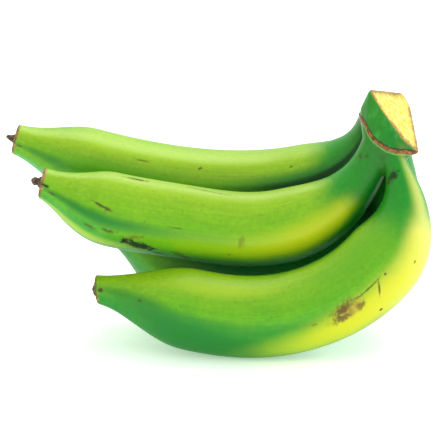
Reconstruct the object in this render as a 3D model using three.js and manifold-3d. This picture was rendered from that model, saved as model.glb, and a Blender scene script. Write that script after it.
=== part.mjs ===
// A hand of green plantains: four fingers that grow from one crown, lying on a surface.
// Millimetres, +Z up. +X runs from the tips to the crown, and +Y from the front row to the rear row.
// The origin is on the surface, under the middle of the hand.

import * as THREE from 'three';
import { ConvexGeometry } from 'three/addons/geometries/ConvexGeometry.js';
import { mergeVertices } from 'three/addons/utils/BufferGeometryUtils.js';
import Module from 'manifold-3d';

const wasm = await Module();
wasm.setup();

// Driving dimensions

const RIDGES = 5; // lengthwise ridges on a finger
const RIDGE_SHARPNESS = 0.3; // 0 is a round section, 1 a true pentagon
const RIDGE_START = 6; // distance from the tip over which the ridges rise
const SIDES = 4 * RIDGES; // a corner falls on each ridge
const RING_SPACING = 6.5; // between the rings of a finger
const NECK_LENGTH = 34; // of each finger, the last part before the crown, which belongs to the crown
const NECK_SINK = 1; // how far a neck goes on past its collar, inside the cushion
const NECK_FLARE = 0.06; // how much wider a neck is where it enters the cushion
const TOUCH_GAP = 0.3; // between pieces that touch
const SOCKET_RADIUS = 4.6; // hollow in a finger's tip that holds the dry flower end
const SOCKET_DEPTH = 1.6;
const TIP_ROUNDING = 0.9;
const SOCKET_FLARE = 0.3; // how much wider the socket is at its mouth
const MOUTH_DEPTH = 0.2; // how far below the tip that mouth sits
const FOOT_GAP = 0.8; // round the foot of a dry flower end, in its socket
const FACE_FADE = 24; // distance from the tip over which the sections turn from the face to the spine

// Each finger is bent in one plane. tip is the middle of its blossom end. yaw turns the plane about the
// vertical, and lean tips it back from upright. headings are the slopes of the spine, in degrees from level,
// at five even stations from the tip to the crown. face is how far the end face at the tip is turned from
// square with the spine. collar is how far past the finger's own length the crown's cushion wraps its neck.
const FINGERS = {
  top: {
    tip: [-113.2, 35.8, 104.6], yaw: -6.6, lean: -28.3, length: 228.8,
    headings: [-25.3, -16.1, -3.5, 19.3, 71.5], face: 8,
    bodyRadius: 19.9, tipRadius: 8.6, nose: 44, neckRadius: 9.2, shoulder: 60, collar: 8,
  },
  middle: {
    tip: [-93.8, -13.6, 91.1], yaw: 0.3, lean: -7.4, length: 209.6,
    headings: [-28.5, -11.3, -6.5, 27.3, 72.3], face: 15,
    bodyRadius: 20.4, tipRadius: 8.5, nose: 40, neckRadius: 8.8, shoulder: 71.5, collar: 3,
  },
  front: {
    tip: [-63.7, -24.8, 33.4], yaw: -5.1, lean: 14.7, length: 224.5,
    headings: [-8.3, -10, 15.7, 53.7, 115.6], face: 14,
    bodyRadius: 22.1, tipRadius: 8.1, nose: 53, neckRadius: 6.3, shoulder: 58, collar: 3,
  },
  rear: {
    tip: [-55.7, 18.4, 55.8], yaw: -1.8, lean: -12.4, length: 223.8,
    headings: [-30.1, -23.3, 13.8, 59.2, 100.8], face: 0,
    bodyRadius: 22.3, tipRadius: 7.8, nose: 40, neckRadius: 8.8, shoulder: 59, collar: 3,
  },
};

// Dry flower ends: radii and heights of the part that stands out of the socket.
const BLOSSOM_ENDS = {
  top: [[2.6, 0.6], [1.7, 2.4], [0.9, 4.6]],
  middle: [[3.4, 0.5], [2.1, 1.8], [2.4, 3.4], [1.4, 4.8]],
  front: [[3.7, 0.5], [3.1, 1.3], [1.6, 1.9]],
  rear: [[3.2, 0.6], [2.0, 1.9], [1.2, 3.2]],
};
const BLOSSOM_SIDES = 10;
const BLOSSOM_POINT = 0.5; // how far the middle of an end stands above its last ring

// The cushion of the crown wraps the ends of the necks and rises to the cut. These are the middles of its
// other rounded corners, and their radius.
const CUSHION_CORNER = 4;
const CUSHION_CORNERS = [
  [87.5, -13, 139], [92, 4, 140], [106.3, 8, 138.2], [107.5, -20, 126],
  [107.5, -20, 111.5], [84, -9, 130], [87, 3, 129],
];
const COLLAR_LIP = 0.5; // how far the cushion stands out round a neck
const COLLAR_CORNERS = 10; // rounded corners round a neck
// The hand was cut from its stalk by one slanting cut, and the back of the crown was trimmed.
const STALK_CUT = { point: [85.1, -13.3, 142.5], normal: [0.68, -0.36, 0.64] };
const BACK_TRIM = { point: [87, -14, 143.7], normal: [-0.36, 0.55, 1] };

const PEEL = { color: 0x76b82a, roughness: 0.42, metalness: 0 };
const CROWN_PEEL = { color: 0x2a9a38, roughness: 0.5, metalness: 0 };
const DRY_FLOWER = { color: 0x3a2a20, roughness: 0.9, metalness: 0 };

const degrees = THREE.MathUtils.degToRad;

// The spine

// Place of the spine, in the finger's own plane, at a distance from the tip, and slope of the section there.
function spineAt(finger, distance) {
  const slopes = new THREE.SplineCurve(finger.headings.map((slope, i) => new THREE.Vector2(i, slope)));
  const slopeAt = (s) => degrees(slopes.getPoint(THREE.MathUtils.clamp(s / finger.length, 0, 1)).y);
  const pieces = Math.max(1, Math.ceil(Math.abs(distance) / 2));
  const step = distance / pieces;
  let x = 0;
  let z = 0;
  for (let i = 0; i < pieces; i++) {
    const slope = slopeAt((i + 0.5) * step);
    x += step * Math.cos(slope);
    z += step * Math.sin(slope);
  }
  const turn = degrees(finger.face) * (1 - THREE.MathUtils.smoothstep(distance, 0, FACE_FADE));
  return { x, z, slope: slopeAt(distance) + turn };
}

// Turns a finger's plane to its yaw and lean, and moves its tip into place.
function placeOf(finger) {
  const turn = new THREE.Euler(-degrees(finger.lean), 0, degrees(finger.yaw), 'ZYX');
  return new THREE.Matrix4().compose(
    new THREE.Vector3(...finger.tip),
    new THREE.Quaternion().setFromEuler(turn),
    new THREE.Vector3(1, 1, 1),
  );
}

// Girth

// Radius of the skin: a bottle nose at the tip, a full body, and a shoulder that narrows to the neck.
function skinRadius(finger, distance) {
  const { bodyRadius, tipRadius, nose, neckRadius, shoulder, length } = finger;
  const rise = (share, t) => share + (1 - share) * THREE.MathUtils.smoothstep(t, 0, 1);
  return bodyRadius * rise(tipRadius / bodyRadius, distance / nose)
    * rise(neckRadius / bodyRadius, (length - distance) / shoulder);
}

// How far the skin stands out at an angle around the finger, with a ridge at angle zero.
function ridgeFactor(angle, weight) {
  const side = (2 * Math.PI) / RIDGES;
  const fromFlat = (((angle % side) + side) % side) - side / 2;
  const meanCorner = 0.0726; // mean of 1 / cos over a side, less one
  const polygon = RIDGE_SHARPNESS * weight * (1 / Math.cos(fromFlat) - 1);
  return (1 + polygon) / (1 + RIDGE_SHARPNESS * weight * meanCorner);
}

// Bending

// Bends a body that was lathed round the Y axis along a finger's spine, and gives its section the ridges.
function bendAlong(geometry, finger) {
  const position = geometry.getAttribute('position');
  const point = new THREE.Vector3();
  for (let i = 0; i < position.count; i++) {
    point.fromBufferAttribute(position, i);
    const { x, z, slope } = spineAt(finger, point.y);
    const weight = THREE.MathUtils.smoothstep(point.y, 0, RIDGE_START);
    const out = ridgeFactor(Math.atan2(point.x, point.z) - Math.PI, weight);
    const up = point.x * out;
    const back = point.z * out;
    position.setXYZ(i, x - up * Math.sin(slope), back, z + up * Math.cos(slope));
  }
  return geometry.applyMatrix4(placeOf(finger));
}

function lathe(profile) {
  const points = profile.map(([radius, along]) => new THREE.Vector2(radius, along));
  return new THREE.LatheGeometry(points, SIDES, Math.PI);
}

// Solids

function toSolid(geometry) {
  const bare = geometry.clone();
  bare.deleteAttribute('normal');
  bare.deleteAttribute('uv');
  const merged = mergeVertices(bare, 1e-4);
  const corners = merged.index.array;
  const triangles = [];
  for (let i = 0; i < corners.length; i += 3) {
    const [a, b, c] = corners.subarray(i, i + 3);
    if (a !== b && b !== c && c !== a) triangles.push(a, b, c);
  }
  return new wasm.Manifold(new wasm.Mesh({
    numProp: 3,
    vertProperties: new Float32Array(merged.getAttribute('position').array),
    triVerts: new Uint32Array(triangles),
  }));
}

function toGeometry(solid) {
  const mesh = solid.getMesh();
  const geometry = new THREE.BufferGeometry();
  geometry.setAttribute('position', new THREE.BufferAttribute(mesh.vertProperties, 3));
  geometry.setIndex(new THREE.BufferAttribute(mesh.triVerts, 1));
  return geometry;
}

// Takes off what lies on the normal's side of a plane.
function trim(solid, { point, normal }) {
  const size = 400;
  const direction = new THREE.Vector3(...normal).normalize();
  const block = new THREE.BoxGeometry(size, size, size);
  block.translate(0, 0, size / 2);
  block.applyQuaternion(new THREE.Quaternion().setFromUnitVectors(new THREE.Vector3(0, 0, 1), direction));
  block.translate(...point);
  return solid.subtract(toSolid(block));
}

// Fingers

function skinProfile(finger, from, to, radiusAt) {
  const count = Math.ceil((to - from) / RING_SPACING);
  return Array.from({ length: count + 1 }, (_, i) => {
    const along = THREE.MathUtils.lerp(from, to, i / count);
    return [radiusAt(along), along];
  });
}

// The fruit from its tip to the plane where the crown's neck begins. A flat spot is left where it would pass
// below the surface that the hand lies on.
function fingerSolid(finger) {
  const end = finger.length - NECK_LENGTH;
  const profile = [
    [0, SOCKET_DEPTH],
    [SOCKET_RADIUS, SOCKET_DEPTH],
    [SOCKET_RADIUS + SOCKET_FLARE, MOUTH_DEPTH],
    [skinRadius(finger, 0) - TIP_ROUNDING, 0],
    ...skinProfile(finger, TIP_ROUNDING, end, (along) => skinRadius(finger, along)),
    [0, end],
  ];
  const surface = { point: [0, 0, 0], normal: [0, 0, -1] };
  return trim(toSolid(bendAlong(lathe(profile), finger)), surface);
}

// The neck that carries a finger, from the finger's end plane into the cushion.
function neckSolid(finger) {
  const start = finger.length - NECK_LENGTH + TOUCH_GAP;
  const end = finger.length + finger.collar + NECK_SINK;
  const radiusAt = (along) => {
    const flare = 1 + NECK_FLARE * THREE.MathUtils.smoothstep(along, start, end);
    return skinRadius(finger, Math.min(along, finger.length)) * flare;
  };
  const profile = [[0, start], ...skinProfile(finger, start, end, radiusAt), [0, end]];
  return toSolid(bendAlong(lathe(profile), finger));
}

// The crown

// Points round the end of a neck, where the cushion wraps it.
function collarPoints(finger) {
  const end = finger.length + finger.collar;
  const radius = skinRadius(finger, finger.length) * (1 + NECK_FLARE) + COLLAR_LIP - CUSHION_CORNER;
  const ring = new THREE.CylinderGeometry(radius, radius, 1, COLLAR_CORNERS, 1, true).translate(0, end, 0);
  const position = bendAlong(ring, finger).getAttribute('position');
  return Array.from({ length: position.count }, (_, i) => new THREE.Vector3().fromBufferAttribute(position, i));
}

function cushionSolid() {
  const corners = CUSHION_CORNERS.map((corner) => new THREE.Vector3(...corner));
  for (const finger of Object.values(FINGERS)) corners.push(...collarPoints(finger));
  const ball = new THREE.IcosahedronGeometry(CUSHION_CORNER, 1).getAttribute('position');
  const points = [];
  for (const corner of corners) {
    for (let i = 0; i < ball.count; i++) {
      points.push(new THREE.Vector3().fromBufferAttribute(ball, i).add(corner));
    }
  }
  return toSolid(new ConvexGeometry(points));
}

function crownGeometry() {
  let crown = cushionSolid();
  for (const finger of Object.values(FINGERS)) crown = crown.add(neckSolid(finger));
  crown = trim(trim(crown, STALK_CUT), BACK_TRIM);
  return toGeometry(crown);
}

// Blossom ends

// Lathed about its own axis, which points out of the fruit, with its foot in the socket.
function blossomEnd(name) {
  const rings = BLOSSOM_ENDS[name];
  const foot = -SOCKET_DEPTH + TOUCH_GAP;
  const [, top] = rings.at(-1);
  const profile = [
    [0, foot],
    [SOCKET_RADIUS - FOOT_GAP, foot],
    [SOCKET_RADIUS - FOOT_GAP, -TOUCH_GAP],
    ...rings,
    [0, top + BLOSSOM_POINT],
  ].map(([radius, along]) => new THREE.Vector2(radius, along));
  const mesh = new THREE.Mesh(
    new THREE.LatheGeometry(profile, BLOSSOM_SIDES),
    new THREE.MeshStandardMaterial(DRY_FLOWER),
  );
  mesh.name = `blossom_end_${name}`;
  const finger = FINGERS[name];
  const { slope } = spineAt(finger, 0);
  const out = new THREE.Vector3(-Math.cos(slope), 0, -Math.sin(slope));
  out.transformDirection(placeOf(finger));
  mesh.position.set(...finger.tip);
  mesh.quaternion.setFromUnitVectors(new THREE.Vector3(0, 1, 0), out);
  return mesh;
}

// The hand

const hand = new THREE.Group();
hand.name = 'plantain_hand';

const crown = new THREE.Mesh(crownGeometry(), new THREE.MeshStandardMaterial(CROWN_PEEL));
crown.name = 'crown';
hand.add(crown);

for (const [name, finger] of Object.entries(FINGERS)) {
  const fruit = new THREE.Mesh(toGeometry(fingerSolid(finger)), new THREE.MeshStandardMaterial(PEEL));
  fruit.name = `finger_${name}`;
  hand.add(fruit, blossomEnd(name));
}

export default hand;
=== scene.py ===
# %% [markdown]
# # A hand of green plantains
# Four green fingers grow from one crown and lie on a pale surface. The solid model is loaded first,
# as a frame that never moves, and every piece made here is fitted to it. All lengths in Blender are
# metres, +Z is up, +X runs from the tips to the crown, and the front row looks towards -Y.

# %% Load the frame
import math

import bmesh
import bpy
from mathutils import Matrix, Vector
from mathutils.kdtree import KDTree


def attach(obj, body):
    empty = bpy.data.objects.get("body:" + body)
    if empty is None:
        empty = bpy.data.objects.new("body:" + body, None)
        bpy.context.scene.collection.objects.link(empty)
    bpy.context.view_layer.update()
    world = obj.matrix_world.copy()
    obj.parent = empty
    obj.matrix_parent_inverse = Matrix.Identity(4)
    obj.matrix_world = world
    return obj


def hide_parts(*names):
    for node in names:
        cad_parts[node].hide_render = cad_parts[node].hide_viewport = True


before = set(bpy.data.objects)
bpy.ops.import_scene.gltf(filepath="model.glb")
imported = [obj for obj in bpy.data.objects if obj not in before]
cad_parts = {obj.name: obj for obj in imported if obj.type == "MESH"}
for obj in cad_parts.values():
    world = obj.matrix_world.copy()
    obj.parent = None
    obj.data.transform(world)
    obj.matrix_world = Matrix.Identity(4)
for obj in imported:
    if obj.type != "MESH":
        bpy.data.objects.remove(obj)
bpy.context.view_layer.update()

MM = 0.001
print("frame nodes:", len(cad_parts))

# %% [markdown]
# ## The camera
# The photograph looks level along the row of fingers and a little down on it, from about a metre
# away. A long lens keeps the fingers' outlines as they are there. The camera aims at one named point
# near the middle of the hand, so its tilt is the only angle that has to be known.

# %% Camera
LOOK_AT = Vector((0.006, -0.012, 0.0673))
CAMERA_DISTANCE = 1.0
CAMERA_HEIGHT_ANGLE = math.radians(15)
CAMERA_FOCAL_MM = 146.4

towards_camera = Vector((0, -math.cos(CAMERA_HEIGHT_ANGLE), math.sin(CAMERA_HEIGHT_ANGLE)))
bpy.ops.object.camera_add(
    location=LOOK_AT + towards_camera * CAMERA_DISTANCE,
    rotation=(math.radians(90) - CAMERA_HEIGHT_ANGLE, 0, 0),
)
camera = bpy.context.object
camera.name = "view_camera"
camera.data.lens = CAMERA_FOCAL_MM
camera.data.sensor_width = 36
camera.data.clip_start = 0.05
bpy.context.scene.camera = camera
print("camera at", [round(v, 4) for v in camera.location])

# %% [markdown]
# ## The measures of the fingers
# A plantain finger is a bent tube: its spine turns slowly from the tip to the neck, and its girth
# swells from a blunt nose to a full body and narrows to the neck. The same measures, in millimetres
# and degrees, shape the solid model, so a finger made from them lands on its solid. The headings are
# slopes of the spine at even steps from the tip to the crown. A finger's end face isn't quite square
# with its spine, so it has a turn of its own, which fades out over the first centimetres.

# %% Finger measures
FINGERS = {
    "top": dict(
        tip=(-113.2, 35.8, 104.6), yaw=-6.6, lean=-28.3, length=228.8,
        headings=(-25.3, -16.1, -3.5, 19.3, 71.5), face=8,
        body=19.9, tip_radius=8.6, nose=44, neck=9.2, shoulder=60, collar=8,
    ),
    "middle": dict(
        tip=(-93.8, -13.6, 91.1), yaw=0.3, lean=-7.4, length=209.6,
        headings=(-28.5, -11.3, -6.5, 27.3, 72.3), face=15,
        body=20.4, tip_radius=8.5, nose=40, neck=8.8, shoulder=71.5, collar=3,
    ),
    "front": dict(
        tip=(-63.7, -24.8, 33.4), yaw=-5.1, lean=14.7, length=224.5,
        headings=(-8.3, -10, 15.7, 53.7, 115.6), face=14,
        body=22.1, tip_radius=8.1, nose=53, neck=6.3, shoulder=58, collar=3,
    ),
    "rear": dict(
        tip=(-55.7, 18.4, 55.8), yaw=-1.8, lean=-12.4, length=223.8,
        headings=(-30.1, -23.3, 13.8, 59.2, 100.8), face=0,
        body=22.3, tip_radius=7.8, nose=40, neck=8.8, shoulder=59, collar=3,
    ),
}
NECK_LENGTH = 34   # the crown's share of each finger's spine
NECK_SINK = 1      # how far a neck runs on past its collar, inside the crown
NECK_FLARE = 0.06
FACE_FADE = 24
LANE = 1000        # each finger keeps its own stretch of the straightened length


def smoothstep(share):
    share = min(max(share, 0), 1)
    return share * share * (3 - 2 * share)


def through(values, share):
    """A smooth curve through evenly spaced values, read at a share of its length."""
    last = len(values) - 1
    place = min(max(share, 0), 1) * last
    i = min(int(place), last - 1)
    t = place - i
    before, start, end, after = (values[min(max(k, 0), last)] for k in (i - 1, i, i + 1, i + 2))
    pull_start, pull_end = (end - before) / 2, (after - start) / 2
    return ((2 * start - 2 * end + pull_start + pull_end) * t ** 3
            + (-3 * start + 3 * end - 2 * pull_start - pull_end) * t ** 2 + pull_start * t + start)


def slope_at(finger, along):
    return math.radians(through(finger["headings"], along / finger["length"]))


def spine_at(finger, along):
    """Centre and slope of a section, in the finger's own upright plane.

    Before the tip the spine runs straight out of the end face.
    """
    turn = math.radians(finger["face"]) * (1 - smoothstep(along / FACE_FADE))
    if along < 0:
        slope = slope_at(finger, 0) + turn
        return Vector((math.cos(slope), 0, math.sin(slope))) * along * MM, slope
    pieces = max(1, math.ceil(along / 2))
    step = along / pieces
    slopes = [slope_at(finger, (i + 0.5) * step) for i in range(pieces)]
    x = sum(step * math.cos(s) for s in slopes)
    z = sum(step * math.sin(s) for s in slopes)
    return Vector((x, 0, z)) * MM, slope_at(finger, along) + turn


def up_of(slope):
    """The direction square to a spine, in its upright plane."""
    return Vector((-math.sin(slope), 0, math.cos(slope)))


def rising(share, t):
    return share + (1 - share) * smoothstep(t)


def skin_radius(finger, along):
    body = finger["body"]
    return (body * rising(finger["tip_radius"] / body, along / finger["nose"])
            * rising(finger["neck"] / body, (finger["length"] - along) / finger["shoulder"]))


def stand_of(finger):
    """Turns a finger's own plane to its yaw and lean, and moves its tip into place."""
    return (Matrix.Translation(Vector(finger["tip"]) * MM)
            @ Matrix.Rotation(math.radians(finger["yaw"]), 4, "Z")
            @ Matrix.Rotation(-math.radians(finger["lean"]), 4, "X"))


for index, (name, finger) in enumerate(FINGERS.items()):
    finger["lane"] = LANE * index
    print(name, "is", finger["length"], "mm long, widest", 2 * finger["body"], "mm")

# %% [markdown]
# ## One tool for every bent tube
# By hand, a bent fruit is made from one ring: the ring is extruded a step along the spine, turned to
# the spine's new slope and scaled to the new girth, over and over. That keeps clean loops round the
# fruit, which subdivide well. The helper below does just that. Each point also remembers where it
# sat on the straightened fruit (how far along, and where round it), in a mesh attribute. The peel's
# fibres and marks can then follow the bend.

# %% Rings along a spine
SIDES = 20
RIDGES = 5
MEAN_CORNER = 0.0726  # how far a sharp ridge stands out, taken as a mean over one side
NECK_GREEN_FROM = 62  # this far from the crown the peel begins to turn darker,
NECK_GREEN_FULL = 18  # and here it is fully dark
SMOOTHING_SHRINK = (2 + math.cos(2 * math.pi / SIDES)) / 3  # what subdivision takes off a ring
GROW = 1 / SMOOTHING_SHRINK                                 # and what makes up for it


def mode(name):
    bpy.ops.object.mode_set(mode=name)


def start_clean():
    if bpy.context.object and bpy.context.object.mode != "OBJECT":
        mode("OBJECT")
    bpy.ops.object.select_all(action="DESELECT")


def pick(piece):
    """Makes a piece the only selected one, and the active one."""
    start_clean()
    piece.select_set(True)
    bpy.context.view_layer.objects.active = piece


def ridge_factor(angle, sharpness):
    """How far the skin stands out at an angle round the finger. A ridge is at angle zero."""
    side = 2 * math.pi / RIDGES
    from_flat = angle % side - side / 2
    return (1 + sharpness * (1 / math.cos(from_flat) - 1)) / (1 + sharpness * MEAN_CORNER)


def neckward_at(finger, along):
    """0 on the fruit, rising to 1 on its neck."""
    from_start = along - finger["length"] + NECK_GREEN_FROM
    return smoothstep(from_start / (NECK_GREEN_FROM - NECK_GREEN_FULL))


def remember(mesh_edit, finger, centre, slope, along):
    """Writes the selected ring's place on the straightened fruit."""
    straight = mesh_edit.verts.layers.float_vector["straight"]
    neckward = mesh_edit.verts.layers.float["neckward"]
    up = up_of(slope)
    from_origin = (along + finger["lane"]) * MM
    for vert in mesh_edit.verts:
        if vert.select:
            vert[straight] = Vector((from_origin, vert.co.y, (vert.co - centre).dot(up)))
            vert[neckward] = neckward_at(finger, along)


def ridge_the_ring(mesh, centre, slope, old, new):
    """Pushes a round ring's points out or in, one group of equal factor at a time."""
    up = up_of(slope)
    groups = {}
    edit = bmesh.from_edit_mesh(mesh)
    for vert in edit.verts:
        if vert.select:
            angle = math.atan2((vert.co - centre).dot(up), -vert.co.y)
            factor = round(ridge_factor(angle, new) / ridge_factor(angle, old), 5)
            groups.setdefault(factor, []).append(vert.index)
    ring = [index for group in groups.values() for index in group]
    for factor, group in groups.items():
        pick_points(mesh, group)
        bpy.ops.transform.resize(value=(factor,) * 3, center_override=centre)
    pick_points(mesh, ring)


def pick_points(mesh, indices):
    edit = bmesh.from_edit_mesh(mesh)
    edit.verts.ensure_lookup_table()
    for vert in edit.verts:
        vert.select = False
    edit.select_flush(False)
    for index in indices:
        edit.verts[index].select = True
    edit.select_flush(True)
    bmesh.update_edit_mesh(mesh)


def close_end():
    """Fills the selected ring and gives the face a point in its middle."""
    bpy.ops.mesh.edge_face_add()
    bpy.ops.mesh.poke()


def ring_body(name, finger, rings, sides=SIDES):
    """Extrudes a ring along a finger's spine. A ring is (distance, radius, ridge sharpness)."""
    start_clean()
    along, radius, sharpness = rings[0]
    centre, slope = spine_at(finger, along)
    bpy.ops.mesh.primitive_circle_add(
        vertices=sides, radius=radius * MM, fill_type="NOTHING",
        location=(0, 0, 0), rotation=(0, math.radians(90) - slope, 0),
    )
    body = bpy.context.object
    body.name = body.data.name = name
    bpy.ops.object.transform_apply()
    body.data.attributes.new("straight", "FLOAT_VECTOR", "POINT")
    body.data.attributes.new("neckward", "FLOAT", "POINT")
    mode("EDIT")
    bpy.ops.mesh.select_mode(type="VERT")
    bpy.ops.mesh.select_all(action="SELECT")
    bpy.ops.transform.translate(value=centre)
    remember(bmesh.from_edit_mesh(body.data), finger, centre, slope, along)
    for next_along, next_radius, next_sharpness in rings[1:]:
        next_centre, next_slope = spine_at(finger, next_along)
        bpy.ops.mesh.extrude_region_move(
            TRANSFORM_OT_translate={"value": next_centre - centre, "orient_type": "GLOBAL"})
        bpy.ops.transform.rotate(
            value=next_slope - slope, orient_axis="Y", orient_type="GLOBAL",
            center_override=next_centre)
        bpy.ops.transform.resize(value=(next_radius / radius,) * 3, center_override=next_centre)
        if next_sharpness != sharpness:
            ridge_the_ring(body.data, next_centre, next_slope, sharpness, next_sharpness)
        remember(bmesh.from_edit_mesh(body.data), finger, next_centre, next_slope, next_along)
        centre, slope, radius, sharpness = next_centre, next_slope, next_radius, next_sharpness
    close_end()
    bpy.ops.mesh.select_all(action="DESELECT")
    bpy.ops.mesh.select_non_manifold(extend=False)
    close_end()
    bpy.ops.mesh.select_all(action="SELECT")
    bpy.ops.mesh.normals_make_consistent()
    mode("OBJECT")
    return body


def apply_modifier(piece, kind, **settings):
    pick(piece)
    modifier = piece.modifiers.new(kind.lower(), kind)
    for key, value in settings.items():
        setattr(modifier, key, value)
    bpy.ops.object.modifier_apply(modifier=modifier.name)


def smooth_twice(piece):
    apply_modifier(piece, "SUBSURF", levels=2)


def set_in_place(piece, finger):
    """Stands the finished piece in the hand and writes its place into its mesh."""
    pick(piece)
    piece.matrix_world = stand_of(finger)
    bpy.ops.object.transform_apply()
    bpy.ops.object.shade_smooth()


def rest_on_surface(piece):
    """Flattens what would pass below the surface, as a fruit flattens where it lies."""
    pick(piece)
    mode("EDIT")
    edit = bmesh.from_edit_mesh(piece.data)
    low = [vert.index for vert in edit.verts if vert.co.z < 0]
    pick_points(piece.data, low)
    if low:
        bpy.ops.transform.resize(value=(1, 1, 0), center_override=(0, 0, 0))
    mode("OBJECT")
    return len(low)


def note_skyward(piece):
    """Writes how much each point of a finished piece looks up: 1 up, 0 sideways, -1 down."""
    skyward = piece.data.attributes.new("skyward", "FLOAT", "POINT")
    for vert in piece.data.vertices:
        skyward.data[vert.index].value = vert.normal.z


def triangles(piece):
    return sum(len(face.vertices) - 2 for face in piece.data.polygons)


# %% [markdown]
# ## The fingers
# The tip of a green plantain ends in a small round face: a tan rim, and inside it a shallow socket
# where the flower sat. The rings start in the bottom of that socket, climb out of it, round the rim
# and then follow the skin. The ridges fade in over the first centimetre. At the other end the finger
# runs on a little inside the crown's neck, so no gap can show between the two.

# %% Fingers
SOCKET_RADIUS = 4.6
SOCKET_DEPTH = 1.6
RIM_ROUNDING = 0.9
RIDGE_SHARPNESS = 0.36
RIDGE_START = 9      # the ridges are fully there this far from the tip,
RIDGE_FADE = 60      # fade over this length
RIDGE_FADE_END = 20  # up to this far from the crown,
RIDGE_LEFT = 0.35    # and keep this share there
RING_SPACING = 6
RING_CROWDING = 1.08  # above 1, the rings stand closer together near the tip
TUCKED = (            # (distance past the joint, how much thinner) inside the neck
    (2.8, 0.25), (7, 0.7),
)


def finger_rings(finger):
    end = finger["length"] - NECK_LENGTH
    rim = skin_radius(finger, 0)
    rings = [
        (SOCKET_DEPTH, SOCKET_RADIUS * 0.45, 0),
        (SOCKET_DEPTH, SOCKET_RADIUS * 0.9, 0),
        (SOCKET_DEPTH * 0.5, SOCKET_RADIUS + 0.1, 0),
        (0.15, SOCKET_RADIUS + 0.5, 0),
        (-0.1, SOCKET_RADIUS + 1.4, 0),
        (0.15, rim - RIM_ROUNDING * 0.8, 0),
        (RIM_ROUNDING * 0.9, rim * GROW, 0),
    ]
    count = math.ceil((end - 2) / RING_SPACING)
    for i in range(count + 1):
        along = 2 + (end - 2) * (i / count) ** RING_CROWDING
        fade = (finger["length"] - along - RIDGE_FADE_END) / RIDGE_FADE
        sharpness = RIDGE_SHARPNESS * smoothstep(along / RIDGE_START) * rising(RIDGE_LEFT, fade)
        rings.append((along, skin_radius(finger, along) * GROW, round(sharpness, 3)))
    for tuck, thinner in TUCKED:
        rings.append((end + tuck, skin_radius(finger, end + tuck) * GROW - thinner, rings[-1][2]))
    return rings


fingers = {}
for name, finger in FINGERS.items():
    fruit = ring_body(f"plantain_{name}", finger, finger_rings(finger))
    smooth_twice(fruit)
    set_in_place(fruit, finger)
    flattened = rest_on_surface(fruit)
    note_skyward(fruit)
    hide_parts(f"finger_{name}")
    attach(fruit, "root")
    fingers[name] = fruit
    print(fruit.name, triangles(fruit), "triangles,", flattened, "points rest on the surface")

# %% [markdown]
# ## The crown
# The crown is where the necks grow together, a lump of green cushion with one slanting knife cut.
# Each neck starts a little inside its finger and comes out of it at a very flat angle.
# A hull stretched over small balls gives the lump: some balls are its upper corners, and the others
# stand round the end of each neck. The necks are made with the same rings as the fingers. A voxel
# remesh melts lump and necks into one skin, and smoothing fills the creases between them, which is
# how the real crown looks. The knife cuts come after that, so their edges stay crisp.

# %% The crown's body
CORNER_BALL = 4
CUSHION_CORNERS = (
    (87.5, -13, 139), (92, 4, 140), (106.3, 8, 138.2), (107.5, -20, 126),
    (107.5, -20, 111.5), (84, -9, 130), (87, 3, 129),
)
COLLAR_LIP = 0.5
COLLAR_BALLS = 10
STALK_CUT = dict(point=(85.1, -13.3, 142.5), normal=(0.68, -0.36, 0.64))
BACK_TRIM = dict(point=(87, -14, 143.7), normal=(-0.36, 0.55, 1))
CROWN_VOXEL = 0.8
CUT_VOXEL = 0.68     # finer after the cuts, to keep their edges
NECK_RIDGES = 0.12   # how sharp the ridges still are on a neck
NECK_RINGS = 8
NECK_START = (       # (distance from the joint, distance from the finger's skin)
    (-3, -1.3), (-0.6, -0.14), (2.2, 0.04),
)


def collar_centres(finger):
    """Middles of the balls round the end of a neck."""
    centre, slope = spine_at(finger, finger["length"] + finger["collar"])
    radius = (skin_radius(finger, finger["length"]) * (1 + NECK_FLARE) + COLLAR_LIP - CORNER_BALL) * MM
    up = up_of(slope)
    stand = stand_of(finger)
    for i in range(COLLAR_BALLS):
        turn = 2 * math.pi * i / COLLAR_BALLS
        yield stand @ (centre + up * radius * math.cos(turn) + Vector((0, radius * math.sin(turn), 0)))


def neck_rings(finger):
    start = finger["length"] - NECK_LENGTH
    end = finger["length"] + finger["collar"] + NECK_SINK
    rings = [(start + at, skin_radius(finger, start + at) * GROW + off, NECK_RIDGES)
             for at, off in NECK_START]
    for i in range(2, NECK_RINGS + 1):
        along = start + (end - start) * i / NECK_RINGS
        flare = 1 + NECK_FLARE * smoothstep((along - start) / (end - start))
        radius = skin_radius(finger, min(along, finger["length"])) * flare * GROW
        rings.append((along, radius, NECK_RIDGES))
    return rings


start_clean()
corners = [Vector(corner) * MM for corner in CUSHION_CORNERS]
for finger in FINGERS.values():
    corners += collar_centres(finger)
bpy.ops.mesh.primitive_ico_sphere_add(subdivisions=2, radius=CORNER_BALL * MM, location=corners[0])
crown = bpy.context.object
crown.name = crown.data.name = "plantain_crown"
bpy.ops.object.transform_apply()
mode("EDIT")
for corner in corners[1:]:
    bpy.ops.mesh.primitive_ico_sphere_add(subdivisions=2, radius=CORNER_BALL * MM, location=corner)
bpy.ops.mesh.select_all(action="SELECT")
bpy.ops.mesh.convex_hull()
mode("OBJECT")
print("cushion hull:", len(crown.data.vertices), "points from", len(corners), "balls")

# %% Necks, melted together
necks = []
for name, finger in FINGERS.items():
    neck = ring_body(f"neck_{name}", finger, neck_rings(finger))
    smooth_twice(neck)
    set_in_place(neck, finger)
    necks.append(neck)
pick(crown)
for neck in necks:
    neck.select_set(True)
bpy.ops.object.join()
apply_modifier(crown, "REMESH", mode="VOXEL", voxel_size=CROWN_VOXEL * MM)
apply_modifier(crown, "SMOOTH", factor=0.5, iterations=7)
print("crown:", triangles(crown), "triangles after the remesh")


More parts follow.
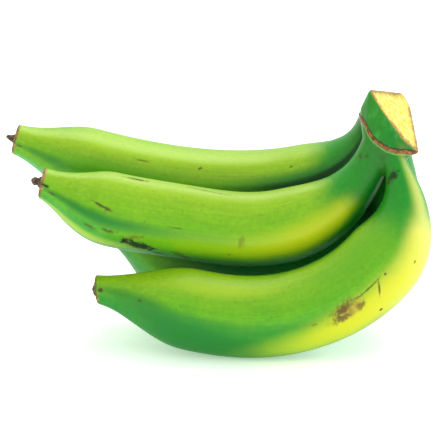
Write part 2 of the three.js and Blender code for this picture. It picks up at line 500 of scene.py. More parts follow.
# %% Knife cuts
def cut_away(piece, point, normal):
    pick(piece)
    mode("EDIT")
    bpy.ops.mesh.select_all(action="SELECT")
    bpy.ops.mesh.bisect(
        plane_co=Vector(point) * MM, plane_no=Vector(normal).normalized(),
        use_fill=True, clear_outer=True)
    mode("OBJECT")


for plane in (STALK_CUT, BACK_TRIM):
    cut_away(crown, **plane)
apply_modifier(crown, "REMESH", mode="VOXEL", voxel_size=CUT_VOXEL * MM)
apply_modifier(crown, "SMOOTH", factor=0.5, iterations=2)
pick(crown)
bpy.ops.object.shade_smooth()
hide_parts("crown")
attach(crown, "root")
print("crown:", triangles(crown), "triangles after the cuts")

# %% [markdown]
# ## The dry flower ends
# At each tip sits what is left of the flower. On the top finger it is a withered spike, on the middle
# one a round grey knob, on the front one a brown disc that has crumbled, and on the rear one, which
# the photograph does not show, a short stub. The ring tool makes all four: distances run outwards
# from the tip, and the foot stands in the socket.

# %% Flower ends
BLOSSOM_ENDS = {
    "top": ((2.6, 0.6), (1.9, 1.5), (1.7, 2.4), (1.3, 3.5), (0.9, 4.6)),
    "middle": ((3.4, 0.5), (2.3, 1.4), (2.1, 1.8), (2.5, 3.0), (2.4, 3.6), (1.4, 4.8)),
    "front": ((3.7, 0.5), (3.6, 0.9), (3.1, 1.3), (1.6, 1.9)),
    "rear": ((3.2, 0.6), (2.4, 1.2), (2.0, 1.9), (1.2, 3.2)),
}
FOOT_CLEARANCE = 0.3
FLOWER_CRINKLE = 1.0
crinkles = bpy.data.textures.new("flower_crinkles", "CLOUDS")
crinkles.noise_scale = 0.0022
flower_ends = {}
for name, shape in BLOSSOM_ENDS.items():
    finger = FINGERS[name]
    foot = SOCKET_DEPTH - FOOT_CLEARANCE
    rings = [(foot, SOCKET_RADIUS - 1.6, 0), (foot, SOCKET_RADIUS - 0.9, 0), (0.3, SOCKET_RADIUS - 0.9, 0)]
    rings += [(-out, radius, 0) for radius, out in shape]
    rings.append((-shape[-1][1] - 0.5, shape[-1][0] * 0.4, 0))
    end = ring_body(f"dry_flower_{name}", finger, rings, sides=12)
    smooth_twice(end)
    set_in_place(end, finger)
    apply_modifier(end, "DISPLACE", strength=FLOWER_CRINKLE * MM, mid_level=0.55, texture=crinkles)
    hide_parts(f"blossom_end_{name}")
    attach(end, "root")
    flower_ends[name] = end
    print(end.name, triangles(end), "triangles")

# %% [markdown]
# ## Floor and light
# The photograph is bright all over: a white table, white surroundings and broad soft light. The table
# glows, and its glow is painted light: slightly green, it stands in for light bounced off the green
# fruit, so the shadow under the front finger stays pale and green-tinted, and the fruit's underside
# stays fresh.

# %% Floor
start_clean()
bpy.ops.mesh.primitive_plane_add(size=8, location=(0, 0, 0))
floor = bpy.context.object
floor.name = "floor"
floor_paint = bpy.data.materials.new("white_table")
floor_paint.use_nodes = True
floor_shader = floor_paint.node_tree.nodes["Principled BSDF"].inputs
floor_shader["Base Color"].default_value = (0.97, 0.96, 0.97, 1)
floor_shader["Roughness"].default_value = 0.7
# painted light: a green-tinted glow from the floor itself
floor_shader["Emission Color"].default_value = (0.56, 0.74, 0.55, 1)
floor_shader["Emission Strength"].default_value = 0.55
floor.data.materials.append(floor_paint)

# %% World and lights
world = bpy.data.worlds.new("white_room")
bpy.context.scene.world = world
world.use_nodes = True
background = world.node_tree.nodes["Background"].inputs
background["Color"].default_value = (1, 1, 1, 1)
background["Strength"].default_value = 1.0
bpy.context.scene.view_settings.view_transform = "Standard"


def softbox(name, location, size, watts):
    start_clean()
    bpy.ops.object.light_add(type="AREA", location=location)
    lamp = bpy.context.object
    lamp.name = name
    lamp.data.shape = "SQUARE"
    lamp.data.size = size
    lamp.data.energy = watts
    lamp.rotation_euler = (LOOK_AT - Vector(location)).to_track_quat("-Z", "Y").to_euler()


softbox("overhead_softbox", (0.1, 0.55, 1.1), 0.8, 6.5)
softbox("right_softbox", (1.0, 0.15, 0.4), 0.6, 6)

# %% [markdown]
# ## Where a point of the crown lies
# The remesh threw away what the necks remembered. Each point of the crown now looks for the nearest
# neck and takes its place on that neck's straightened fruit, so the colours run on over the joint.
# Two more things are written down for the paint: how far inside the knife cut a point lies, and how
# far above or below the corky scar line that runs round the crown under the cut.

# %% The crown's attributes
CUT_DEPTH = 0.35  # a point this near to the cut's plane is flesh
STATION_STEP = 1.5
STATION_REACH = 6  # the stations on a spine run this far past its neck's ends
SCAR_MIDDLE = (95, -5)
SCAR_LINE = (     # (angle round the crown, height)
    (-180, 127), (-155, 126.5), (-137, 124.7), (-129, 122.5), (-117, 118.3), (-107, 115.5),
    (-98, 113.5), (-89, 112), (-78, 111.2), (-67, 110.6), (-56, 110), (-45, 109.8), (-20, 111),
    (0, 113), (45, 117), (90, 121), (135, 125), (180, 127),
)


def scar_level(angle):
    for (left, low), (right, high) in zip(SCAR_LINE, SCAR_LINE[1:]):
        if left <= angle <= right:
            return low + (high - low) * (angle - left) / (right - left)
    return SCAR_LINE[0][1]


stations = []
for finger in FINGERS.values():
    stand = stand_of(finger)
    turned = stand.to_3x3()
    along = finger["length"] - NECK_LENGTH - STATION_REACH
    while along < finger["length"] + STATION_REACH:
        centre, slope = spine_at(finger, along)
        up = turned @ up_of(slope)
        forward = turned @ Vector((math.cos(slope), 0, math.sin(slope)))
        across = turned @ Vector((0, 1, 0))
        stations.append((stand @ centre, up, forward, across, along, finger))
        along += STATION_STEP
spine_tree = KDTree(len(stations))
for i, station in enumerate(stations):
    spine_tree.insert(station[0], i)
spine_tree.balance()

cut_point, cut_normal = Vector(STALK_CUT["point"]) * MM, Vector(STALK_CUT["normal"]).normalized()
flesh, skin = [], []
for vert in crown.data.vertices:
    on_cut = (vert.co - cut_point).dot(cut_normal) > -CUT_DEPTH * MM
    (flesh if on_cut else skin).append(vert.index)
skin_tree = KDTree(len(skin))
for i in skin:
    skin_tree.insert(crown.data.vertices[i].co, i)
skin_tree.balance()
attributes = crown.data.attributes
attributes.new("straight", "FLOAT_VECTOR", "POINT")
for kind in ("neckward", "cut_inside", "scar_height"):
    attributes.new(kind, "FLOAT", "POINT")
for i in flesh:
    attributes["cut_inside"].data[i].value = skin_tree.find(crown.data.vertices[i].co)[2]
for vert in crown.data.vertices:
    at = vert.co
    _, i, _ = spine_tree.find(at)
    centre, up, forward, across, along, finger = stations[i]
    offset = at - centre
    further = along + offset.dot(forward) / MM
    attributes["straight"].data[vert.index].vector = (
        (further + finger["lane"]) * MM, offset.dot(across), offset.dot(up))
    attributes["neckward"].data[vert.index].value = neckward_at(finger, further)
    angle = math.degrees(math.atan2(at.y / MM - SCAR_MIDDLE[1], at.x / MM - SCAR_MIDDLE[0]))
    attributes["scar_height"].data[vert.index].value = at.z / MM - scar_level(angle)
print("crown:", len(flesh), "points of cut flesh,", len(skin), "of skin")

# %% [markdown]
# ## Relief of the scar and the cut
# The scar stands out of the skin as a real ridge, and the cut flesh is a little torn. Both are moved
# in the mesh: a weight says how much each point takes part, and a displacement does the rest.

# %% Scar and flesh relief
SCAR_HALF_WIDTH = 1.7
SCAR_DROP = 0.2      # the ridge's middle lies this far below the scar line
FLESH_BORDER = 0.6   # the flesh is smooth up to here from the skin's edge,
FLESH_FADE = 1.5     # and fully torn this much further in


def share_of_points(piece, name, share_of):
    """A vertex group whose weights come from a function of the point's number."""
    group = piece.vertex_groups.new(name=name)
    for vert in piece.data.vertices:
        share = smoothstep(share_of(vert.index))
        if share > 0:
            group.add([vert.index], share, "REPLACE")


def displace(piece, group, strength, rest_level, grain_size, depth=2):
    lumps = bpy.data.textures.new(group, "CLOUDS")
    lumps.noise_scale, lumps.noise_depth = grain_size * MM, depth
    apply_modifier(piece, "DISPLACE", vertex_group=group, strength=strength * MM,
                   mid_level=rest_level, texture=lumps)


def near_scar(i):
    return 1 - abs(attributes["scar_height"].data[i].value + SCAR_DROP) / SCAR_HALF_WIDTH


def inside_cut(i):
    return (attributes["cut_inside"].data[i].value / MM - FLESH_BORDER) / FLESH_FADE


share_of_points(crown, "scar_ridge", near_scar)
share_of_points(crown, "torn_flesh", inside_cut)
displace(crown, "scar_ridge", 0.9, -0.1, 3.5)
displace(crown, "torn_flesh", 1.1, 0.6, 3, depth=3)
note_skyward(crown)

# %% [markdown]
# ## Tools for the paint
# A material is a tree of nodes. Each helper below adds a node or a few, sets or links the inputs and
# hands back the output, so each effect reads like a recipe. Colours are noted as they look on a
# screen, from 0 to 255, and turned to the linear values that light works with.

# %% Node helpers
def linear(*screen):
    return tuple((v / 255) ** 2.2 for v in screen) + (1.0,)


def put(tree, kind, inputs=None, output=0, **settings):
    """Adds a node. An input is a value or another node's output socket."""
    node = tree.nodes.new(kind)
    for key, value in settings.items():
        setattr(node, key, value)
    for key, value in (inputs or {}).items():
        if isinstance(value, bpy.types.NodeSocket):
            tree.links.new(value, node.inputs[key])
        else:
            node.inputs[key].default_value = value
    return node.outputs[output]


def calc(tree, operation, a, b=0.0, c=0.0):
    return put(tree, "ShaderNodeMath", {0: a, 1: b, 2: c}, operation=operation)


def times(tree, a, b):
    return calc(tree, "MULTIPLY", a, b)


def ramp_between(tree, value, low, high, to_low=0.0, to_high=1.0):
    """A soft step: to_low below low, to_high above high."""
    places = {"Value": value, "From Min": low, "From Max": high, "To Min": to_low, "To Max": to_high}
    return put(tree, "ShaderNodeMapRange", places, interpolation_type="SMOOTHSTEP")


def band(tree, value, rise, fall):
    """1 from a rise up to a fall, and 0 outside them. Each is (start, end)."""
    up, down = ramp_between(tree, value, *rise), ramp_between(tree, value, *fall, 1.0, 0.0)
    return times(tree, up, down)


def spread(tree, noise, width):
    """Turns a noise from 0 to 1 into one of a given width round zero."""
    return times(tree, calc(tree, "SUBTRACT", noise, 0.5), width)


def remembered(tree, name, output="Fac"):
    """What a mesh attribute says at this point."""
    return put(tree, "ShaderNodeAttribute", output=output, attribute_name=name)


def blend_colours(tree, share, under, over, mode="MIX"):
    return put(tree, "ShaderNodeMix", {0: share, 6: under, 7: over}, output=2,
               data_type="RGBA", blend_type=mode)


def two_tone(tree, noise, low, high, first, second):
    """One colour where a noise is low and another where it is high."""
    return blend_colours(tree, ramp_between(tree, noise, low, high), linear(*first), linear(*second))


def grain(tree, vector, scale, detail=3.0, roughness=0.55):
    return put(tree, "ShaderNodeTexNoise",
               {"Vector": vector, "Scale": scale, "Detail": detail, "Roughness": roughness})


def new_group(name, inputs, outputs):
    """A shader node group. Each input has a start value, or None for a vector."""
    group = bpy.data.node_groups.new(name, "ShaderNodeTree")
    for socket, start in inputs.items():
        kind = "NodeSocketVector" if start is None else "NodeSocketFloat"
        made = group.interface.new_socket(socket, in_out="INPUT", socket_type=kind)
        if start is not None:
            made.default_value = start
    for socket, kind in outputs.items():
        group.interface.new_socket(socket, in_out="OUTPUT", socket_type=f"NodeSocket{kind}")
    ends = group.nodes.new("NodeGroupInput"), group.nodes.new("NodeGroupOutput")
    return group, ends[0].outputs, ends[1].inputs


def use_group(tree, name, **inputs):
    node = tree.nodes.new("ShaderNodeGroup")
    node.node_tree = bpy.data.node_groups[name]
    for key, value in inputs.items():
        socket = node.inputs[key.replace("_", " ").capitalize()]
        if isinstance(value, bpy.types.NodeSocket):
            tree.links.new(value, socket)
        else:
            socket.default_value = value
    return node.outputs


# %% [markdown]
# ## Effect: the place on the peel
# Every mark on a banana skin follows the fruit, so the paint works in the fruit's own measures:
# millimetres along it from the tip, and degrees round it, with zero towards the viewer. This group
# turns the remembered place into those two numbers.

# %% Group: peel place
tree, g_in, g_out = new_group(
    "peel_place", {"Straight": None}, {"Along": "Float", "Angle": "Float"})
split = tree.nodes.new("ShaderNodeSeparateXYZ")
tree.links.new(g_in["Straight"], split.inputs[0])
towards = times(tree, split.outputs["Y"], -1.0)
turned = calc(tree, "ARCTAN2", split.outputs["Z"], towards)
tree.links.new(times(tree, split.outputs["X"], 1000.0), g_out["Along"])
tree.links.new(calc(tree, "DEGREES", turned), g_out["Angle"])

# %% [markdown]
# ## Effect: a patch
# Bruises, scuffs, scratches and broad washes of colour are all the same thing: an oval at a place on
# the peel, turned, with a soft or a ragged edge. One group makes the mask, and its inputs say the
# rest. A noise bends the edge, so that no two patches look alike.

# %% Group: patch
MM_PER_DEGREE = 0.37  # round a finger of 21 mm radius
tree, g_in, g_out = new_group(
    "patch",
    {"Along": 0, "Angle": 0, "Centre along": 0, "Centre angle": 0, "Half length": 10,
     "Half width": 5, "Turn": 0, "Softness": 0.3, "Raggedness": 0.3, "Noise": 0.5, "Strength": 1},
    {"Mask": "Float"})
x = calc(tree, "SUBTRACT", g_in["Along"], g_in["Centre along"])
y = times(tree, calc(tree, "SUBTRACT", g_in["Angle"], g_in["Centre angle"]), MM_PER_DEGREE)
turn = calc(tree, "RADIANS", g_in["Turn"])
cos, sin = calc(tree, "COSINE", turn), calc(tree, "SINE", turn)
u = calc(tree, "ADD", times(tree, x, cos), times(tree, y, sin))
v = calc(tree, "SUBTRACT", times(tree, y, cos), times(tree, x, sin))
u = calc(tree, "POWER", calc(tree, "DIVIDE", u, g_in["Half length"]), 2.0)
v = calc(tree, "POWER", calc(tree, "DIVIDE", v, g_in["Half width"]), 2.0)
away = calc(tree, "SQRT", calc(tree, "ADD", u, v))
away = calc(tree, "ADD", away, spread(tree, g_in["Noise"], g_in["Raggedness"]))
inner = calc(tree, "SUBTRACT", 1.0, g_in["Softness"])
outer = calc(tree, "ADD", 1.0, g_in["Softness"])
inside = ramp_between(tree, away, inner, outer, 1.0, 0.0)
tree.links.new(times(tree, inside, g_in["Strength"]), g_out["Mask"])

# %% [markdown]
# ## Effect: the green of the peel
# Seen round a finger, the peel goes from lime on top through fresh green to a deep emerald underneath:
# partly the peel's own colour, and partly painted light, lighter on top where the light falls and
# painted shade underneath. On the neck it is emerald all round, with a painted lighter tone where it
# looks up. Cloudy noise keeps the changes from looking drawn, and stretched noise gives the fine
# lengthwise fibres.
# A few faint freckles are scattered over all of it.

# %% Group: peel green
# partly painted light: the greens grow lighter towards the top of each finger
GREENS = (  # (height round the finger from 0 to 1, colour)
    (0.02, (14, 118, 30)), (0.22, (36, 146, 28)), (0.48, (92, 166, 18)),
    (0.72, (116, 174, 16)), (1.0, (138, 184, 30)),
)
# painted shade and painted light on the neck: darker where it faces down, lighter where it faces up
NECK_GREEN_SHADED, NECK_GREEN_LIT = (2, 92, 26), (5, 136, 32)
FRECKLE = (70, 100, 16)
tree, g_in, g_out = new_group(
    "peel_green",
    {"Straight": None, "Place": None, "Angle": 0, "Neckward": 0, "Skyward": 0},
    {"Colour": "Color", "Fibres": "Float"})
clouds = grain(tree, g_in["Place"], 38.0, 4.0)
drift = calc(tree, "SUBTRACT", clouds, 0.5)
height = calc(tree, "SINE", calc(tree, "RADIANS", g_in["Angle"]))
height = calc(tree, "MULTIPLY_ADD", height, 0.5, 0.5)
height = calc(tree, "MULTIPLY_ADD", drift, 0.45, height)
greens = tree.nodes.new("ShaderNodeValToRGB")
tree.links.new(height, greens.inputs["Fac"])
stops = greens.color_ramp.elements
while len(stops) < len(GREENS):
    stops.new(0.5)
for stop, (position, colour) in zip(stops, GREENS):
    stop.position, stop.color = position, linear(*colour)
necked = calc(tree, "MULTIPLY_ADD", drift, 0.5, g_in["Neckward"])
necked = ramp_between(tree, necked, 0.05, 0.95, 0.0, 0.94)
# painted light: the neck is lighter where it faces up and darker, a painted shade, where it faces down
looking_up = calc(tree, "MULTIPLY_ADD", drift, 0.8, g_in["Skyward"])
neck_tone = two_tone(tree, looking_up, -0.6, 0.8, NECK_GREEN_SHADED, NECK_GREEN_LIT)
base = blend_colours(tree, necked, greens.outputs["Color"], neck_tone)
stretched = put(tree, "ShaderNodeMapping", {"Vector": g_in["Straight"], "Scale": (0.035, 1.0, 1.0)})
fibres = grain(tree, stretched, 650.0, 4.0, 0.6)
fibre_share = calc(tree, "MULTIPLY_ADD", g_in["Neckward"], -0.85, 1.0)
fibres = spread(tree, fibres, fibre_share)
mottle = grain(tree, g_in["Place"], 420.0, 3.0)
shade = calc(tree, "MULTIPLY_ADD", fibres, 0.5, 1.0)
shade = times(tree, shade, ramp_between(tree, mottle, 0.2, 0.8, 0.9, 1.08))
shade = put(tree, "ShaderNodeCombineXYZ", {0: shade, 1: shade, 2: shade})
base = blend_colours(tree, 1.0, base, shade, "MULTIPLY")
freckles = grain(tree, g_in["Place"], 560.0, 2.0, 0.4)
freckled = ramp_between(tree, freckles, 0.66, 0.74, 0.0, 0.35)
tree.links.new(blend_colours(tree, freckled, base, linear(*FRECKLE)), g_out["Colour"])
tree.links.new(calc(tree, "ADD", fibres, 0.5), g_out["Fibres"])

# %% [markdown]
# ## Effects: noises, rim and wax
# Three smaller effects are shared by the skins. The first holds the noises that bend the edges of
# marks and washes, and fades the washes out where a finger turns into its neck. The second is the tan
# rim round a flower's socket. The third is the wax: how rough it is, and how high the fibres, the
# pores and the marks stand in it. A mark is duller than the skin, and sunk a little.

# %% Groups: skin noise, flower rim and waxy skin
tree, g_in, g_out = new_group(
    "skin_noise", {"Place": None, "Neckward": 0},
    {"Fine": "Float", "Broad": "Float", "On fruit": "Float"})
tree.links.new(grain(tree, g_in["Place"], 420.0, 5.0, 0.7), g_out["Fine"])
tree.links.new(grain(tree, g_in["Place"], 55.0, 3.0), g_out["Broad"])
fruit_share = ramp_between(tree, g_in["Neckward"], 0.55, 1.0, 1.0, 0.0)
tree.links.new(fruit_share, g_out["On fruit"])

tree, g_in, g_out = new_group(
    "flower_rim", {"From tip": 0, "Fine": 0.5}, {"Rim": "Float", "Tan": "Color"})
ragged = calc(tree, "ADD", g_in["From tip"], spread(tree, g_in["Fine"], 4.0))
tree.links.new(ramp_between(tree, ragged, 1.0, 2.0, 1.0, 0.0), g_out["Rim"])
tan = two_tone(tree, g_in["Fine"], 0.42, 0.58, (164, 132, 80), (84, 58, 30))
tree.links.new(tan, g_out["Tan"])

tree, g_in, g_out = new_group(
    "waxy_skin", {"Place": None, "Fibres": 0.5, "Marked": 0},
    {"Roughness": "Float", "Height": "Float"})
pores = grain(tree, g_in["Place"], 900.0, 2.0)
rough = calc(tree, "MULTIPLY_ADD", g_in["Marked"], 0.28, 0.38)
rough = calc(tree, "ADD", rough, ramp_between(tree, pores, 0.3, 0.7, -0.03, 0.05))
tree.links.new(rough, g_out["Roughness"])
pores = times(tree, pores, 0.3)
relief = calc(tree, "MULTIPLY_ADD", g_in["Fibres"], 0.5, pores)
relief = calc(tree, "SUBTRACT", relief, times(tree, g_in["Marked"], 0.5))
tree.links.new(relief, g_out["Height"])

# %% [markdown]
# ## What each finger's skin shows
# These are the washes and marks of this one hand, each at its own place. A wash is a broad soft
# patch of another green, or of yellow where the fruit begins to ripen; some washes are painted light
# instead: painted shade where the fingers shade each other, a painted highlight in lime, and lime
# tops that are partly painted light. A mark is a scuff, a scratch or a bruise; one is a painted
# contact shadow and one a painted highlight. Each row says: colour, centre along in mm, centre round
# in degrees, half length and half width in mm, turn in degrees, softness, raggedness and strength.

# %% Washes and marks
# Two of these greens are painted shade and one pale yellow is a painted highlight; the rest are colours of
# the peel and its marks.
PAINTS = {
    "lime": (162, 196, 30), "yellow": (206, 204, 16), "emerald": (12, 118, 32),
    "leaf": (84, 160, 20), "painted_shade": (8, 54, 24), "painted_gap_shade": (40, 130, 66),
    "black": (22, 20, 10), "umber": (74, 58, 20), "olive": (108, 104, 24),
    "tan": (170, 140, 60), "painted_highlight_yellow": (206, 208, 92), "brown": (92, 74, 26),
}
WASHES = {
    "top": {
        # partly painted light: a lime wash over the top of the finger
        "lime back, partly painted light": ("lime", 96, 86, 96, 8, 0, 0.9, 0.6, 0.55),
        "green band along the ridge": ("leaf", 60, 40, 46, 4.5, 0, 0.8, 0.8, 0.6),
        "emerald heel": ("emerald", 22, 22, 20, 3.5, -4, 0.8, 0.8, 0.6),
        # partly the peel's emerald, partly painted shade where the middle finger lies against this one
        "emerald flank with painted shade": ("emerald", 120, 28, 100, 3.4, 0, 0.8, 0.5, 0.7),
        "emerald and painted shade above the crease": ("emerald", 182, 41, 46, 4.6, 0, 0.8, 0.3, 0.9),
    },
    "middle": {
        "emerald groove from the tip": ("emerald", 34, 2, 34, 3.4, -3, 0.8, 0.7, 0.9),
        "groove, fading": ("emerald", 92, 0, 34, 2.6, -2, 0.9, 0.9, 0.4),
        # painted highlight: lime along the lower edge near the tip
        "painted highlight on the lower rim": ("lime", 26, -48, 26, 4.5, 0, 0.7, 0.4, 0.8),
        # partly painted light: a lime wash over the top of the finger
        "lime back, partly painted light": ("lime", 96, 74, 92, 6, 0, 0.9, 0.6, 0.5),
        "lime belly": ("lime", 132, -12, 58, 8, 3, 0.9, 0.5, 0.75),
        "yellow patch": ("yellow", 155, -4, 32, 8, 6, 0.9, 0.5, 0.6),
        "emerald lower edge": ("emerald", 132, -64, 84, 5.2, 0, 0.6, 0.3, 0.9),
        "emerald inside the bend": ("emerald", 186, -34, 20, 7, 14, 0.7, 0.3, 0.8),
    },
    "front": {
        "emerald cheek": ("emerald", 26, -6, 26, 5.5, -14, 0.8, 0.6, 0.7),
        # partly painted shade: darker on the lower side, where less light falls
        "emerald flank with painted shade": ("emerald", 58, -36, 46, 8.5, -6, 0.6, 0.5, 0.9),
        "emerald belly": ("emerald", 82, -66, 54, 9, -3, 0.5, 0.3, 0.85),
        "groove under the lime band": ("emerald", 84, -16, 44, 2.6, -5, 0.8, 0.7, 0.45),
        "lime band": ("lime", 72, 42, 34, 4.5, 2, 0.8, 0.6, 0.7),
        "green inside the bend": ("leaf", 158, 34, 36, 9, 0, 0.8, 0.5, 0.6),
        "emerald rim by the gap": ("emerald", 150, 84, 60, 6, 0, 0.7, 0.4, 0.9),
        "ripening belly": ("lime", 122, -54, 30, 8, 4, 0.8, 0.4, 0.85),
        # painted highlight: pale yellow where strong light from the right falls on the outside of the bend
        "painted yellow highlight outside of the bend": ("painted_highlight_yellow", 184, -48, 38, 12, 4, 0.6, 0.3, 0.9),
        "yellow patch under the bruise": ("yellow", 146, -42, 34, 9.5, 4, 0.7, 0.4, 0.85),
    },
    "rear": {
        # painted shade: the rear finger is painted dark where it lies in the shade of the gap and behind
        # the necks
        "painted shade in the gap": ("painted_gap_shade", 142, 20, 102, 25, 0, 0.25, 0.1, 0.97),
        "painted shade behind the necks": ("painted_shade", 210, 18, 34, 26, 0, 0.3, 0.1, 0.9),
    },
}
MARKS = {
    "top": {
        "spot at the tip": ("umber", 3.6, 24, 1.6, 0.8, 0, 0.4, 1.5, 0.85),
        "faint streak": ("umber", 74.5, 66, 3.6, 0.6, 0, 0.7, 3.0, 0.6),
        "fleck": ("umber", 110.2, 67, 1.4, 0.7, 30, 0.5, 1.5, 0.85),
        "second fleck": ("umber", 169.9, 64, 1.3, 0.6, 20, 0.5, 1.5, 0.7),
        # painted contact shadow: a dark line where the middle finger lies against this one
        "painted contact shadow above the middle finger": ("painted_shade", 184, 33, 46, 2.8, -1, 0.6, 0.4, 0.9),
    },
    "middle": {
        "black scuff": ("black", 59, -36, 8.5, 3.3, -16, 0.35, 3.8, 0.95),
        "tail of the scuff": ("black", 70, -50, 5.5, 0.9, -16, 0.4, 4.0, 0.9),
        "head of the scuff": ("black", 52.5, -29, 3, 2.0, 10, 0.4, 4.0, 0.85),
        "faint curl over the scuff": ("olive", 56, -18, 4.5, 1.2, 14, 0.6, 4.5, 0.8),
        "upper streak": ("umber", 35, 22, 6, 0.8, -14, 0.5, 3.2, 0.85),
        "lower streak": ("umber", 32, -19, 3.4, 1.2, 6, 0.6, 3.8, 0.75),
        "lower streak, second part": ("umber", 42, -15, 4.2, 1.2, 2, 0.6, 3.8, 0.75),
        "scuff on the back": ("umber", 52.5, 84, 6, 1.5, 0, 0.5, 2.4, 0.85),
        "thin line on the back": ("umber", 92, 84, 14, 0.45, -10, 0.6, 3.0, 0.7),
        "hair line": ("umber", 76.5, 10, 3.6, 0.5, 0, 0.6, 3.0, 0.5),
        "rub under the belly": ("umber", 83, -46, 5, 1.6, -30, 0.6, 4.0, 0.7),
        "faint bruise": ("olive", 113.4, 2, 3.6, 1.6, 84, 0.6, 3.2, 0.5),
        "fleck": ("umber", 107.8, -25, 0.9, 0.6, 0, 0.4, 0.8, 0.6),
        "speck by the crease": ("umber", 202.2, 56, 1.2, 3, 0, 0.5, 2.5, 0.75),
        "second speck": ("umber", 204.6, 34, 0.9, 2.2, 0, 0.5, 2.5, 0.65),
        "black edge of the tip": ("black", 3.0, 18, 2.4, 2.2, 10, 0.35, 3.0, 0.95),
        "brown hollow behind it": ("umber", 7.6, 4, 1.8, 1.1, 0, 0.5, 2.4, 0.8),
    },
    "front": {
        "bruise, tan middle": ("tan", 137.5, -25, 7.4, 4.2, 12, 0.5, 2.0, 0.75),
        "bruise, dark upper part": ("brown", 136, -19, 6.6, 2.5, 12, 0.6, 3.0, 0.95),
        "bruise, lower part": ("brown", 133, -31, 5.2, 2.0, 6, 0.6, 3.2, 0.85),
        "bruise, right end": ("brown", 143.5, -28, 2.6, 1.9, 30, 0.6, 3.2, 0.75),
        "scratch": ("umber", 151.5, -14, 6.8, 0.5, 4, 0.7, 2.4, 0.75),
        "line at its end": ("umber", 155.6, -24, 4.4, 0.5, 58, 0.5, 1.6, 0.85),
        "dark fleck": ("umber", 149.8, -56, 0.9, 0.8, 0, 0.4, 0.8, 0.9),
        "fleck near the edge": ("umber", 174.9, -44, 0.8, 0.7, 0, 0.5, 0.8, 0.7),
        "fleck by the scratch": ("umber", 162.4, -15, 0.8, 0.7, 0, 0.5, 0.8, 0.8),
        "fleck near the tip": ("umber", 26.5, -2, 1.1, 0.7, 0, 0.5, 0.8, 0.75),
        "faint fleck": ("olive", 119.4, -24, 1.6, 0.7, 0, 0.5, 0.9, 0.6),
        "hollow in the tip's edge": ("umber", 3.4, 4, 1.5, 3.6, 0, 0.4, 2.6, 0.95),
        "scuff on the neck": ("black", 216, 28, 8.5, 2.1, -81, 0.5, 2.8, 0.85),
        "rub beside the gap": ("umber", 213.6, 56, 1.6, 2.6, 0, 0.6, 4.0, 0.7),
        # painted highlight: pale yellow on the neck's edge, where the light from the right falls
        "painted yellow highlight on the neck's edge": ("painted_highlight_yellow", 205, -42, 17, 7, 0, 0.8, 0.6, 0.6),
    },
    "rear": {},
}


SHAPE = ("centre_angle", "half_length", "half_width", "turn", "softness", "raggedness", "strength")


def paint_rows(tree, colour, marked, rows, lane, where, noise, share=None):
    """Lays washes or marks over a colour, one after the other, and gathers their masks."""
    for paint, along, *shape in rows:
        mask = use_group(tree, "patch", along=where["Along"], angle=where["Angle"], noise=noise,
                         centre_along=along + lane, **dict(zip(SHAPE, shape)))["Mask"]
        if share is not None:
            mask = times(tree, mask, share)
        colour = blend_colours(tree, mask, colour, linear(*PAINTS[paint]))
        marked = mask if marked is None else calc(tree, "MAXIMUM", marked, mask)
    return colour, marked


# %% [markdown]
# ## Material: green peel
# One recipe paints every finger: the green, then its washes, then its marks, and a tan rim round the
# flower's socket. The skin is waxy, so the gloss is broad and soft, a little duller on a scuff. The
# fibres and the marks also go into a shallow bump.

# %% Green peel
def new_material(name):
    material = bpy.data.materials.new(name)
    material.use_nodes = True
    return material, material.node_tree, material.node_tree.nodes["Principled BSDF"].inputs


def dress(piece, material):
    piece.data.materials.clear()
    piece.data.materials.append(material)


def peel_start(tree):
    """The nodes that every green skin starts with."""
    straight = remembered(tree, "straight", "Vector")
    neckward, skyward = remembered(tree, "neckward"), remembered(tree, "skyward")
    place = put(tree, "ShaderNodeTexCoord", output="Object")
    where = use_group(tree, "peel_place", straight=straight)
    green = use_group(tree, "peel_green", straight=straight, place=place, angle=where["Angle"],
                      neckward=neckward, skyward=skyward)
    return place, where, green, use_group(tree, "skin_noise", place=place, neckward=neckward)


def finish_skin(tree, shader, colour, marked, green, place):
    tree.links.new(colour, shader["Base Color"])
    wax = use_group(tree, "waxy_skin", place=place, fibres=green["Fibres"], marked=marked)
    tree.links.new(wax["Roughness"], shader["Roughness"])
    bump = put(tree, "ShaderNodeBump", {"Height": wax["Height"], "Distance": 0.0004, "Strength": 0.5})
    tree.links.new(bump, shader["Normal"])
    shader["Specular IOR Level"].default_value = 0.3
    shader["Coat Weight"].default_value = 0.06
    shader["Coat Roughness"].default_value = 0.25


for name, finger in FINGERS.items():
    lane = finger["lane"]
    peel, tree, shader = new_material(f"green_peel_{name}")
    place, where, green, noise = peel_start(tree)
    colour, _ = paint_rows(tree, green["Colour"], None, WASHES[name].values(), lane,
                           where, noise["Broad"], noise["On fruit"])
    from_tip = calc(tree, "SUBTRACT", where["Along"], lane)
    rim = use_group(tree, "flower_rim", from_tip=from_tip, fine=noise["Fine"])
    colour = blend_colours(tree, rim["Rim"], colour, rim["Tan"])
    colour, marked = paint_rows(tree, colour, rim["Rim"], MARKS[name].values(), lane,
                                where, noise["Fine"])
    finish_skin(tree, shader, colour, marked, green, place)
    dress(fingers[name], peel)
    print(peel.name, len(tree.nodes), "nodes")

# %% [markdown]
# ## Material: the crown
# The crown wears the same green skin, with the washes and marks that run up from the fingers, and
# some paler streaks above the scar. The knife cut shows pale yellow flesh with brown fibres at the
# edge of the skin, and under it runs a scar of reddish cork with a dark upper lip and a pale line
# below.

# %% The crown's material
CORK = (-1.5, -0.9), (0.8, 1.3)  # where a band rises and where it falls, in mm from the scar line
DARK_LIP = (0.6, 1.0), (1.4, 1.8)
PALE_LINE = (-2.5, -2.0), (-1.7, -1.3)
OVERLAP = 3  # a mark that reaches this near to the joint is painted on both sides of it
crown_paint, tree, shader = new_material("crown_peel")
place, where, green, noise = peel_start(tree)
colour, marked = green["Colour"], None


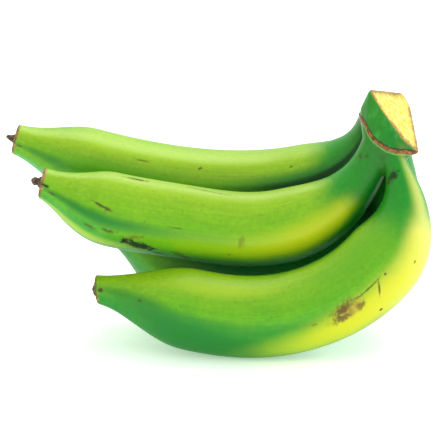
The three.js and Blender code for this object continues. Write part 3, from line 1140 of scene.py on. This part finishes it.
def reaching_rows(rows, finger):
    """The rows that run on from a finger to its neck."""
    neck_from = finger["length"] - NECK_LENGTH - OVERLAP
    return [row for row in rows.values() if row[1] + row[3] * (1 + row[6]) > neck_from]


for name, finger in FINGERS.items():
    colour, _ = paint_rows(tree, colour, None, reaching_rows(WASHES[name], finger), finger["lane"],
                           where, noise["Broad"], noise["On fruit"])
for name, finger in FINGERS.items():
    colour, marked = paint_rows(tree, colour, marked, reaching_rows(MARKS[name], finger),
                                finger["lane"], where, noise["Fine"])

scar = remembered(tree, "scar_height")
upright = put(tree, "ShaderNodeMapping", {"Vector": place, "Scale": (1, 1, 0.3)})
streaks = ramp_between(tree, grain(tree, upright, 230.0, 3.0), 0.48, 0.72, 0.0, 0.5)
streaks = times(tree, streaks, ramp_between(tree, scar, -5.0, 1.0))
colour = blend_colours(tree, streaks, colour, linear(70, 160, 70))
scar = calc(tree, "ADD", scar, spread(tree, noise["Fine"], 2.4))
cork_band, dark_lip, pale_line = (band(tree, scar, *edges) for edges in (CORK, DARK_LIP, PALE_LINE))
cork_grain = grain(tree, place, 700.0, 4.0)
cork = two_tone(tree, cork_grain, 0.35, 0.65, (168, 104, 58), (92, 58, 30))
colour = blend_colours(tree, times(tree, pale_line, 0.4), colour, linear(170, 205, 110))
colour = blend_colours(tree, cork_band, colour, cork)
colour = blend_colours(tree, times(tree, dark_lip, 0.85), colour, linear(40, 44, 20))

cut_mm = times(tree, remembered(tree, "cut_inside"), 1000.0)
cut_mask = ramp_between(tree, cut_mm, 0.25, 0.6)
mottle = grain(tree, place, 520.0, 5.0, 0.7)
flesh_tone = two_tone(tree, mottle, 0.38, 0.6, (228, 212, 122), (206, 184, 58))
brown_dots = ramp_between(tree, mottle, 0.6, 0.7, 0.0, 0.8)
flesh_tone = blend_colours(tree, brown_dots, flesh_tone, linear(160, 112, 36))
ragged_mm = calc(tree, "ADD", cut_mm, spread(tree, noise["Fine"], 4.0))
ragged_mm = calc(tree, "ADD", ragged_mm, spread(tree, noise["Broad"], 9.0))
browned = times(tree, ramp_between(tree, ragged_mm, 1.0, 4.6, 1.0, 0.0), 0.85)
browned_tone = two_tone(tree, cork_grain, 0.4, 0.6, (150, 112, 44), (96, 66, 26))
flesh_tone = blend_colours(tree, browned, flesh_tone, browned_tone)
colour = blend_colours(tree, cut_mask, colour, flesh_tone)
marked = calc(tree, "MAXIMUM", calc(tree, "MAXIMUM", marked, cork_band), cut_mask)
finish_skin(tree, shader, colour, marked, green, place)
dress(crown, crown_paint)
print(crown_paint.name, len(tree.nodes), "nodes")

# %% [markdown]
# ## Material: dry flower
# The withered flower is dull and crumbly, nearly black in its folds and grey-brown on its edges.

# %% Dry flower
dry, tree, shader = new_material("dry_flower")
place = put(tree, "ShaderNodeTexCoord", output="Object")
crumbs = grain(tree, place, 900.0, 5.0, 0.7)
tree.links.new(two_tone(tree, crumbs, 0.35, 0.6, (34, 26, 20), (112, 92, 74)), shader["Base Color"])
shader["Roughness"].default_value = 0.85
bump = put(tree, "ShaderNodeBump", {"Height": crumbs, "Distance": 0.0006, "Strength": 0.8})
tree.links.new(bump, shader["Normal"])
for piece in flower_ends.values():
    dress(piece, dry)
